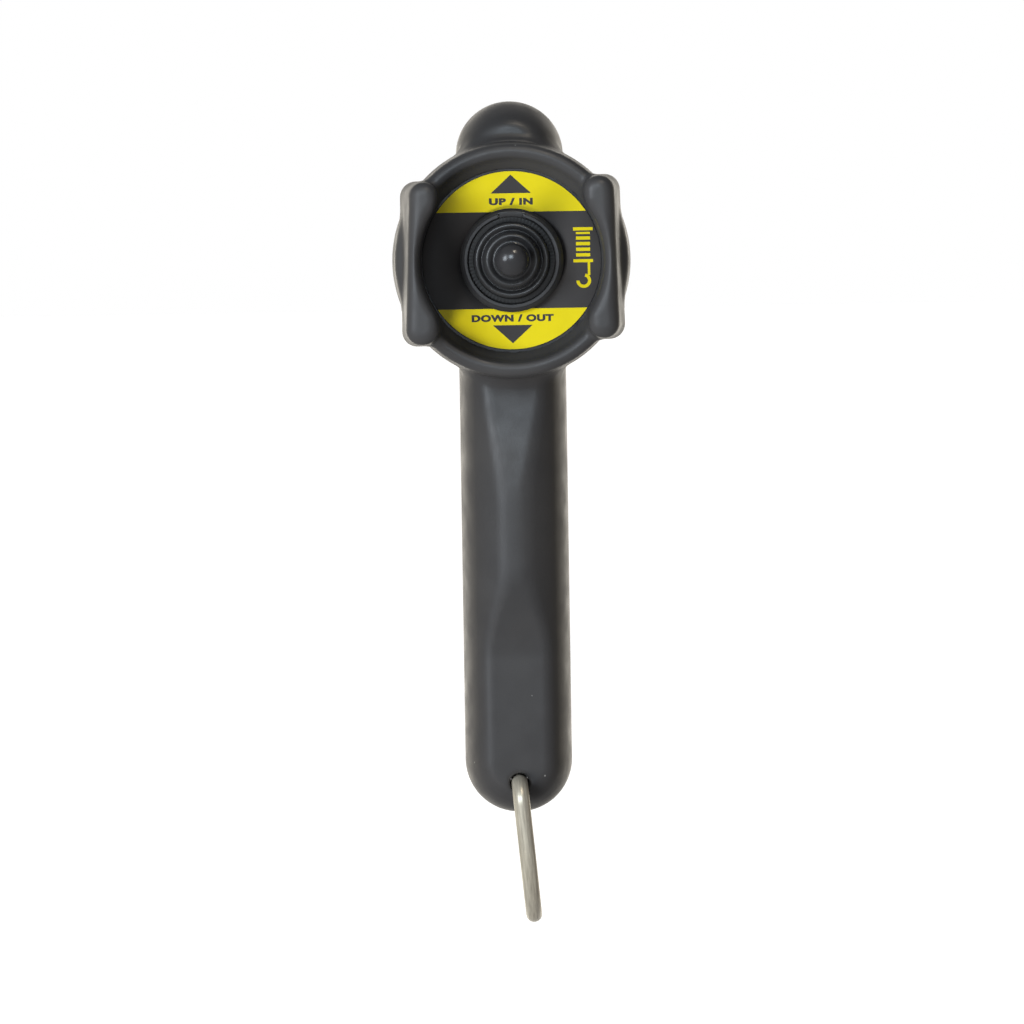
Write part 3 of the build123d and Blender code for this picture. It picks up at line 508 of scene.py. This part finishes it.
def metal(name, colour, roughness):
    """Plated or turned metal with fine wear."""
    made, tree, shader = new_material(name)
    scale = 900.0
    darker = tuple(0.8 * c for c in colour)
    tree.links.new(ramp(tree, noise(tree, 400.0, 4.0), 0.3, 0.7, darker, colour), shader.inputs["Base Color"])
    shader.inputs["Metallic"].default_value = 1.0
    tree.links.new(ramp(tree, noise(tree, scale, 4.0), 0.3, 0.7, roughness - 0.08, roughness + 0.1),
                   shader.inputs["Roughness"])
    bump(tree, shader, noise(tree, scale, 3.0), 0.2, 0.00002)
    return made


def drawn_wire(name):
    """Satin steel wire with draw marks along its length, from the tube's own map."""
    made, tree, shader = new_material(name)
    stretch = tree.nodes.new("ShaderNodeMapping")
    stretch.inputs["Scale"].default_value = (24.0, 9.0, 1.0)
    tree.links.new(tree.nodes.new("ShaderNodeTexCoord").outputs["UV"], stretch.inputs["Vector"])
    streak = noise(tree, 1.0, 6.0, stretch.outputs["Vector"], 0.65)
    blotch = noise(tree, 160.0, 4.0, tree.nodes["Texture Coordinate"].outputs["Object"])
    light = ramp(tree, streak, 0.36, 0.60, (0.34, 0.31, 0.25), (0.60, 0.565, 0.465))
    tree.links.new(mix(tree, ramp(tree, blotch, 0.45, 0.75, 0.0, 0.5), light, (0.42, 0.40, 0.34)),
                   shader.inputs["Base Color"])
    shader.inputs["Metallic"].default_value = 0.42
    tree.links.new(ramp(tree, streak, 0.25, 0.75, 0.44, 0.30), shader.inputs["Roughness"])
    bump(tree, shader, streak, 0.35, 0.00004)
    return made


GRIP_RUBBER = rubber("grip_rubber", (0.039, 0.0386, 0.040), (0.048, 0.0470, 0.0475), 0.42,
                     dust=0.6, gloss=0.38)
GUARD_RUBBER = rubber("guard_rubber_look", (0.048, 0.0478, 0.0495), (0.057, 0.0565, 0.0575), 0.45,
                      dust=0.6, gloss=0.35)
SEAL = rubber("seal_look", (0.03, 0.03, 0.03), (0.04, 0.04, 0.04), 0.6)
BOOT = rubber("boot_look", (0.026, 0.0265, 0.028), (0.033, 0.0335, 0.035), 0.30,
              grain=3400.0, depth=0.00002, gloss=0.55)
CLAMP = plastic("clamp_look", (0.020, 0.0205, 0.0215), 0.5, gloss=0.2)
BEZEL = plastic("bezel_look", (0.030, 0.0305, 0.032), 0.38)
KNOB = plastic("knob_look", (0.030, 0.030, 0.032), 0.22, gloss=0.4)
BLACK_PRINT = plastic("black_print", (0.043, 0.0415, 0.042), 0.6, grain=900.0, depth=0.00001, gloss=0.15)
YELLOW_PRINT = plastic("yellow_print", (0.69, 0.585, 0.006), 0.6, grain=900.0, depth=0.00001, gloss=0.15)
STEEL = drawn_wire("ring_look")
BLACK_STEEL = metal("black_steel_look", (0.05, 0.05, 0.052), 0.45)
ZINC = metal("zinc_look", (0.55, 0.55, 0.54), 0.36)
BRASS = metal("brass_look", (0.76, 0.60, 0.32), 0.34)
SPRING = metal("spring_look", (0.60, 0.60, 0.62), 0.28)
DARK = plastic("dark_plastic_look", (0.025, 0.025, 0.027), 0.5)
GREEN = plastic("board_look", (0.02, 0.13, 0.05), 0.35, coat=0.2)
CELL = metal("cell_look", (0.30, 0.31, 0.34), 0.32)
RED_WIRE = plastic("red_wire_look", (0.45, 0.02, 0.015), 0.42)
BLACK_WIRE = plastic("black_wire_look", (0.02, 0.02, 0.02), 0.42)
BLUE_WIRE = plastic("blue_wire_look", (0.03, 0.07, 0.32), 0.42)

SLOT_LOOKS = {
    "grip_shell": GRIP_RUBBER,
    "guard_rubber": GUARD_RUBBER,
    "seal_rubber": SEAL,
    "boot_rubber": BOOT,
    "black_plastic": DARK,
    "knob_plastic": KNOB,
    "legend_print": BLACK_PRINT,
    "ring_steel": STEEL,
    "screw_steel": ZINC,
    "spring_steel": SPRING,
    "contact_metal": BRASS,
    "board_green": GREEN,
    "component_black": DARK,
    "cell_metal": CELL,
    "lead_red": RED_WIRE,
    "lead_black": BLACK_WIRE,
    "lead_blue": BLUE_WIRE,
}


def finish_piece(piece, look, slot, body, *replaced):
    """Gives a new piece its look and its body, and hides the CAD nodes it stands for. The slot is not used.
    """
    piece.data.materials.clear()
    piece.data.materials.append(look)
    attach(piece, body)
    if replaced:
        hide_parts(*replaced)
    return piece


# === the pieces ===========================================================================================
def make_housing():
    """The two halves of the grip, and the battery door."""
    front = field_mesh("front_skin", front_shell, FRONT_LOW, FRONT_HIGH, STEP)
    finish_piece(front, GRIP_RUBBER, "grip_shell", BODY, "front_housing")
    rear = field_mesh("rear_skin", rear_shell, REAR_LOW, REAR_HIGH, STEP)
    finish_piece(rear, GRIP_RUBBER, "grip_shell", BODY, "rear_housing")
    door_low = (DOOR_LOW[0], BACK - 2.0, DOOR_LOW[2])
    cover = field_mesh("door_skin", door, door_low, DOOR_HIGH, 0.7 * STEP)
    finish_piece(cover, GRIP_RUBBER, "grip_shell", BODY, "battery_door")


def make_guard():
    piece = field_mesh("guard_skin", guard, GUARD_LOW, GUARD_HIGH, 0.9 * STEP)
    finish_piece(piece, GUARD_RUBBER, "guard_rubber", BODY, "guard_boot")


def arc(radius, start, end, count):
    """Points (x, z) on a circle, angles in radians from +X."""
    steps = [start + (end - start) * i / (count - 1) for i in range(count)]
    return [(radius * math.cos(a), radius * math.sin(a)) for a in steps]


def make_legend():
    """The printed disc: black, with a yellow field, an arrow and words above and below the joystick."""
    bore, front = 11.3, DISC_FRONT + 0.03
    edge = [(bore, PANEL_FRONT, 0), (DISC_RADIUS, PANEL_FRONT, 0), (DISC_RADIUS, front, 0.12)]
    disc = lathe("legend_disc", rounded(edge + [(bore, front, 0)], 3), 192)
    finish_piece(disc, BLACK_PRINT, "legend_print", BODY, "legend_plate")
    field_radius, band = DISC_RADIUS - 0.12, 13.8
    reach = math.asin(band / field_radius)
    upper = arc(field_radius, reach, math.pi - reach, 64)
    lower = [(x, -z) for x, z in reversed(upper)]
    yellow = print_layer("legend_fields", [upper[::-1], lower[::-1]], DISC_FRONT)
    finish_piece(yellow, YELLOW_PRINT, "legend_print", BODY)
    yellow.visible_glossy = False          # so it doesn't tint the knob and the cone
    up = [(-5.75, 19.1), (0.0, 24.4), (5.75, 19.1)]
    down = [(5.65, -18.5), (0.0, -23.7), (-5.65, -18.5)]
    arrows = print_layer("legend_arrows", [up, down], DISC_FRONT - 0.02, 0.02)
    finish_piece(arrows, BLACK_PRINT, "legend_print", BODY)
    for name, text, z, width, height in (
        ("legend_words_up", "UP / IN", 16.75, 12.5, 2.0),
        ("legend_words_down", "DOWN / OUT", -16.5, 23.4, 2.05),
    ):
        letters = words(name, text, (0, z), width, height, DISC_FRONT - 0.01)
        finish_piece(letters, BLACK_PRINT, "legend_print", BODY)
    finish_piece(make_pictogram(), YELLOW_PRINT, "legend_print", BODY)


def bar(x0, x1, z0, z1):
    """A rectangle's outline."""
    return [(x0, z0), (x0, z1), (x1, z1), (x1, z0)]


def make_pictogram():
    """A plain winch sign right of the joystick: a wound drum between flanges, and its hook."""
    left, right = 17.6, 23.2
    loops = [bar(left, right, 8.2, 9.1), bar(left, right, -0.9, 0.0)]
    loops += [bar(left + 0.8, right - 0.8, z, z + 0.95) for z in (0.75, 2.35, 3.95, 5.55)]
    loops += [bar(left + 0.8, right - 0.8, 7.15, 7.75)]
    rope_x = right - 1.2
    loops.append(bar(rope_x - 0.35, rope_x + 0.35, -4.6, -0.9))
    hook_x, hook_z, outer, inner = rope_x - 1.55, -6.1, 2.1, 1.2
    sweep = [math.radians(75 - 255 * i / 20) for i in range(21)]
    ring = [(hook_x + outer * math.cos(a), hook_z + outer * math.sin(a)) for a in sweep]
    back = [(hook_x + inner * math.cos(a), hook_z + inner * math.sin(a)) for a in reversed(sweep)]
    loops.append(ring + back)
    return print_layer("legend_sign", [loop[::-1] for loop in loops], DISC_FRONT)


def make_bezel():
    """Bezel with a chamfer, a flat and a raised lip notched at the top, and inside it the toothed clamp."""
    front, back, radius = BEZEL_FRONT, BEZEL_FRONT + 2.4, BEZEL_RADIUS
    outline = [
        (12.45, back - 0.4, 0), (radius, back, 0), (radius, back - 0.9, 0.35),
        (13.9, front + 0.35, 0.4), (13.45, front + 0.55, 0.15), (13.15, front + 0.5, 0.15),
        (12.95, front, 0.22), (12.6, front + 0.1, 0.2), (12.45, front + 1.2, 0),
    ]
    piece = lathe("bezel_skin", rounded(outline, 4), 240)
    cut = math.radians(17.0)
    fade = math.radians(1.2)
    floor = (front + 0.75) * MM
    for vertex in piece.data.vertices:
        x, y, z = vertex.co
        angle = abs(math.atan2(x, z - HEAD_Z * MM))
        r = math.hypot(x, z - HEAD_Z * MM) / MM
        if r < 13.6 and y < floor:
            share = min(1.0, max(0.0, (cut - angle) / fade))
            vertex.co.y += (floor - y) * share
    finish_piece(piece, BEZEL, "black_plastic", BODY)
    tab_outline = [
        (12.5, front + 1.15, 0), (13.85, front + 1.15, 0),
        (13.85, front + 0.55, 0.1), (12.5, front + 0.75, 0.1),
    ]
    tab = lathe("bezel_notch_tab", rounded(tab_outline, 2), 240)
    keep_sector(tab, math.radians(14.5))
    finish_piece(tab, BEZEL, "black_plastic", BODY)
    teeth, tooth_depth = 72, 0.08
    clamp_outline = [(10.9, -33.1, 0), (12.35, -33.1, 0), (12.35, -33.62, 0.15), (10.9, -33.65, 0.15)]
    clamp = lathe("clamp_skin", rounded(clamp_outline, 3), 432)
    for vertex in clamp.data.vertices:
        x, y, z = vertex.co
        r = math.hypot(x, z - HEAD_Z * MM) / MM
        tooth = 0.5 + 0.5 * math.cos(teeth * math.atan2(x, z - HEAD_Z * MM))
        if y < -33.3 * MM and r > 11.2:
            vertex.co.y += tooth_depth * MM * smooth(np.array(tooth)).item()
    finish_piece(clamp, CLAMP, "black_plastic", BODY, "boot_clamp_ring")


def keep_sector(piece, half_angle):
    """Deletes a turned piece's faces outside an angle from straight up, and closes its two ends."""
    work = bmesh.new()
    work.from_mesh(piece.data)
    gone = []
    for face in work.faces:
        centre = face.calc_center_median()
        if abs(math.atan2(centre.x, centre.z - HEAD_Z * MM)) > half_angle:
            gone.append(face)
    bmesh.ops.delete(work, geom=gone, context="FACES")
    bmesh.ops.holes_fill(work, edges=[e for e in work.edges if e.is_boundary], sides=0)
    bmesh.ops.recalc_face_normals(work, faces=work.faces)
    work.to_mesh(piece.data)
    work.free()


def make_boot():
    """Rubber bellows with two round folds."""
    outline = [
        (9.9, -32.7, 0), (10.8, -32.8, 0.2), (10.82, -35.2, 1.0), (10.3, -36.35, 0.9), (9.35, -36.2, 0.7),
        (8.75, -35.0, 0.6), (8.25, -35.4, 0.5), (7.9, -38.0, 0.9), (7.2, -39.0, 0.9), (6.2, -38.7, 0.9),
        (5.4, -37.8, 0.8), (4.75, -38.3, 0.8), (4.5, -40.2, 0.8), (4.4, -41.6, 0.8), (4.3, -43.4, 0.1),
        (2.6, -43.4, 0), (2.6, -40.8, 0.3), (3.6, -39.0, 0.5), (4.2, -37.4, 0.6), (5.2, -36.6, 0.6),
        (6.7, -37.4, 0.6), (7.1, -36.4, 0.6), (7.3, -34.6, 0.6), (8.6, -33.9, 0.6), (9.5, -34.6, 0.6),
    ]
    piece = lathe("boot_skin", rounded(outline, 5), 160)
    piece.data.materials.append(BOOT)
    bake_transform(piece)
    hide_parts("joystick_boot")


def make_knob():
    """Polished knob with a rounded nose."""
    outline = [(0, KNOB_BACK), (3.9, KNOB_BACK), (4.5, KNOB_BACK - 0.25), (KNOB_RADIUS, KNOB_BACK - 0.9)]
    dome, steps = 4.0, 22
    dome_base = KNOB_FRONT + dome
    outline.append((KNOB_RADIUS, 0.5 * (KNOB_BACK - 0.9 + dome_base)))
    for i in range(steps + 1):
        a = math.pi / 2 * i / steps
        radius = KNOB_RADIUS * math.cos(a) ** 0.92 if i < steps else 0
        outline.append((radius, dome_base - dome * math.sin(a)))
    piece = lathe("knob_skin", outline, 128, closed=False)
    finish_piece(piece, KNOB, "knob_plastic", LEVER, "lever_knob")


def ring_path():
    """Centre line of the ring in its own plane: (y, depth below the hole), a closed loop."""
    front, back = RING_LOW[1] + ROD_RADIUS, RING_HIGH[1] - ROD_RADIUS
    bend, reach = 6.0, 39.65
    half = (back - front) / 2
    middle = (back + front) / 2
    path = [(y, 0.0) for y in np.linspace(front + bend, back - bend, 24, endpoint=False)]
    for i in range(14):
        a = math.pi / 2 * i / 14
        path.append((back - bend + bend * math.sin(a), bend - bend * math.cos(a)))
    path += [(back, d) for d in np.linspace(bend, reach - half, 8, endpoint=False)]
    for i in range(48):
        a = math.pi * i / 48
        path.append((middle + half * math.cos(a), reach - half + half * math.sin(a)))
    path += [(front, d) for d in np.linspace(reach - half, bend, 8, endpoint=False)]
    for i in range(14):
        a = math.pi / 2 * i / 14
        path.append((front + bend - bend * math.cos(a), bend - bend * math.sin(a)))
    return path


def make_ring():
    """Round wire along the ring's path, with a map for its draw marks."""
    path, sides = ring_path(), 40
    count = len(path)
    down = Vector((math.sin(RING_LEAN), 0, -math.cos(RING_LEAN)))
    across = Vector((math.cos(RING_LEAN), 0, math.sin(RING_LEAN)))
    origin = Vector((0, 0, HOLE_Z))
    centres = [origin + Vector((0, y, 0)) + down * d for y, d in path]
    verts = []
    for i, centre in enumerate(centres):
        along = (centres[(i + 1) % count] - centres[i - 1]).normalized()
        outward = along.cross(across)
        for k in range(sides):
            a = 2 * math.pi * k / sides
            verts.append((centre + (across * math.cos(a) + outward * math.sin(a)) * ROD_RADIUS) * MM)
    faces, map_at = [], []
    length = [0.0]
    for i in range(count):
        length.append(length[-1] + (centres[(i + 1) % count] - centres[i]).length)
    for i in range(count):
        for k in range(sides):
            j, m = (i + 1) % count, (k + 1) % sides
            faces.append((i * sides + k, j * sides + k, j * sides + m, i * sides + m))
            u0, u1 = k / sides, (k + 1) / sides
            v0, v1 = length[i] / 100, length[i + 1] / 100
            map_at += [(u0, v0), (u0, v1), (u1, v1), (u1, v0)]
    mesh = bpy.data.meshes.new("ring_wire")
    mesh.from_pydata(verts, [], faces)
    layer = mesh.uv_layers.new(name="UVMap")
    layer.data.foreach_set("uv", np.array(map_at, np.float32).ravel())
    smooth_faces(mesh)
    finish_piece(link("ring_wire", mesh), STEEL, "ring_steel", RING, "hang_ring")


def dress_cad_nodes():
    """Every CAD node gets its slot's look, the panel screws and the ring bushing another one, and the screws
    and the bushing softened edges.
    """
    slot_of = {part["node"]: part["material_slot"] for part in frame["record"]["subparts"]}
    for name, node in nodes.items():
        node.data.materials.clear()
        node.data.materials.append(SLOT_LOOKS[slot_of[name]])
    nodes["panel_screws"].data.materials[0] = BLACK_STEEL
    nodes["ring_bushing"].data.materials[0] = GRIP_RUBBER
    for name in ("housing_screws", "door_screws", "ring_bushing"):
        edge = nodes[name].modifiers.new("edges", "BEVEL")
        edge.width = 0.00012
        edge.segments = 2
        edge.limit_method = "ANGLE"


# === stage, lights and camera =============================================================================
def make_stage():
    """A wide pale floor just under the ring. It casts no shadow, so the fill light can stand below it."""
    mesh = bpy.data.meshes.new("floor")
    size = 25.0
    z = (BOTTOM - 34.0) * MM
    corners = [(-size, -size, z), (size, -size, z), (size, size, z), (-size, size, z)]
    mesh.from_pydata(corners, [], [(0, 1, 2, 3)])
    floor = link("floor", mesh)
    made, tree, shader = new_material("floor_look")
    tree.links.new(ramp(tree, noise(tree, 6.0, 3.0), 0.3, 0.7, 0.86, 0.9), shader.inputs["Base Color"])
    shader.inputs["Roughness"].default_value = 0.9
    shader.inputs["Emission Color"].default_value = (1, 1, 1, 1)
    shader.inputs["Emission Strength"].default_value = 0.8
    floor.data.materials.append(made)
    floor.visible_glossy = False
    floor.visible_diffuse = False
    floor.visible_shadow = False


def area_light(name, place, size, power, colour, target):
    """A round soft light at place, turned to its target."""
    light = bpy.data.lights.new(name, "AREA")
    light.shape, light.size = "DISK", size
    light.energy, light.color = power, colour
    lamp = link(name, light)
    lamp.location = place
    lamp.rotation_euler = (Vector(target) - Vector(place)).to_track_quat("-Z", "Y").to_euler()
    return lamp


def make_world():
    """White to the camera. The object is lit by a dimmer room: grey in front, above and below, and bright and
    warm behind, which draws the light rims along the sides.
    """
    world = bpy.data.worlds.new("studio")
    world.use_nodes = True
    tree = world.node_tree
    split = tree.nodes.new("ShaderNodeSeparateXYZ")
    tree.links.new(coordinates(tree, "Generated"), split.inputs[0])
    depth = tree.nodes.new("ShaderNodeMapRange")
    depth.inputs["From Min"].default_value = -1.0
    tree.links.new(split.outputs["Y"], depth.inputs["Value"])
    room = ramp(tree, depth.outputs[0], 0.15, 0.98, (0.26, 0.26, 0.27), (2.5, 2.36, 2.1))
    middle = room.node.color_ramp.elements.new(0.83)
    middle.color = (0.40, 0.35, 0.27, 1)
    height = tree.nodes.new("ShaderNodeMath")
    height.operation = "ABSOLUTE"
    tree.links.new(split.outputs["Z"], height.inputs[0])
    room = mix(tree, ramp(tree, height.outputs[0], 0.12, 0.5, 0.0, 0.9), room, (0.26, 0.26, 0.265))
    path = tree.nodes.new("ShaderNodeLightPath")
    sky = tree.nodes["Background"]
    seen = mix(tree, path.outputs["Is Camera Ray"], room, (1.0, 1.0, 1.0))
    tree.links.new(seen, sky.inputs["Color"])
    bpy.context.scene.world = world


def make_lights():
    """A window at the left, a panel and a lamp seen in gloss only, and a fill from below without gloss."""
    head = (0, 0, HEAD_Z * MM)
    area_light("window", (-0.90, -1.07, 0.38), 0.6, 12.0, (0.84, 0.92, 1.0), head)
    panel = area_light("panel", (-0.14, -1.25, 0.48), 0.4, 6.0, (0.78, 0.90, 1.0), (0, 0, 0.04))
    lamp = area_light("lamp", (0.30, -0.80, 1.10), 0.05, 4.0, (1.0, 0.88, 0.72), head)
    fill = area_light("fill", (-0.62, -1.0, -0.66), 0.5, 14.0, (1.0, 0.975, 0.94), head)
    panel.visible_diffuse = lamp.visible_diffuse = False
    fill.visible_glossy = False
    make_world()


CAMERA_AZIMUTH = math.radians(-0.4)
CAMERA_ROLL = math.radians(-0.91)
CAMERA_DISTANCE = 2.0
LOOK_AT = (-0.00085, 0.0, 0.0170)
SCALE = 0.29 * MM          # size of one picture element at the object


def make_camera():
    """A long lens a little left of straight on, level with the head."""
    data = bpy.data.cameras.new("camera")
    data.sensor_width = 36.0
    data.lens = 36.0 * CAMERA_DISTANCE / (1024 * SCALE)
    camera = link("camera", data)
    look_at = Vector(LOOK_AT)
    away = Vector((math.sin(CAMERA_AZIMUTH), -math.cos(CAMERA_AZIMUTH), 0)) * CAMERA_DISTANCE
    camera.location = (look_at.x + away.x, away.y, HEAD_Z * MM)
    turn = (look_at - camera.location).to_track_quat("-Z", "Y")
    camera.rotation_euler = (turn.to_matrix() @ Matrix.Rotation(CAMERA_ROLL, 3, "Z")).to_euler()
    bpy.context.scene.camera = camera


dress_cad_nodes()
make_housing()
make_guard()
make_legend()
make_bezel()
make_boot()
make_knob()
make_ring()
make_stage()
make_lights()
make_camera()
bpy.context.scene.view_settings.view_transform = "Standard"
